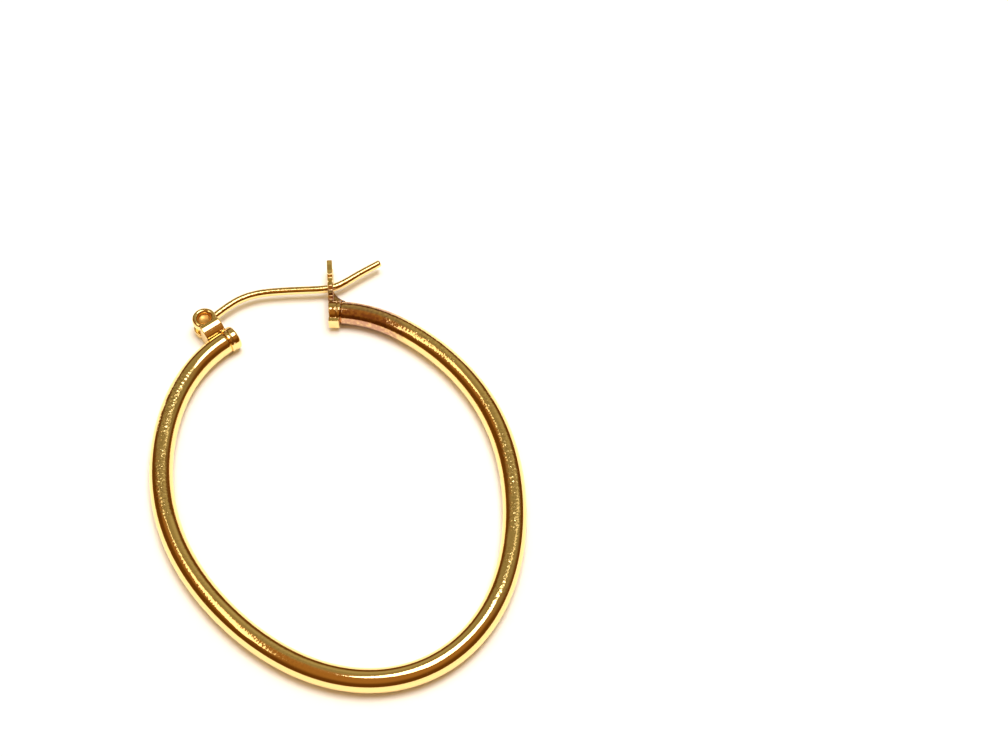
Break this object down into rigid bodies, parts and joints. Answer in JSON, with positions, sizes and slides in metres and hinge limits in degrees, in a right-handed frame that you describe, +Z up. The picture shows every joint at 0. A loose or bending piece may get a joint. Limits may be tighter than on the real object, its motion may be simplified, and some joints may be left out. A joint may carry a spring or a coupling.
{
  "type": "hoop earring",
  "caption": "Oval hoop earring of hollow round tube, with a hinged bent ear wire that swings across the gap and drops into a forked catch plate.",
  "frame": {"origin": "middle of the outline, at the height of the surface the earring lies on", "axes": "the hoop lies flat: +Z is up off that surface, +Y is the long way of the oval, from the bottom of the hoop to the gap, and -X is the hinge's side of the gap"},
  "size_m": [0.0344, 0.0462, 0.0024],
  "materials": {
    "polished_gold": "polished, with fine lengthwise scratches",
    "soldered_gold": "polished",
    "tarnished_gold": "polished, browned by soldering",
    "wire_gold": "polished"
  },
  "bodies": {
    "hoop": {"hoop_tube": "polished_gold", "hinge_cap": "soldered_gold", "catch_cap": "tarnished_gold"},
    "ear_wire": {"ear_wire": "wire_gold"}
  },
  "joints": [
    {"name": "ear_wire_hinge", "type": "hinge", "parent": "hoop", "child": "ear_wire", "pos_m": [-0.00578, 0.02102, 0.0012], "axis": [0, 0, 1], "range_deg": [0, 100]}
  ]
}
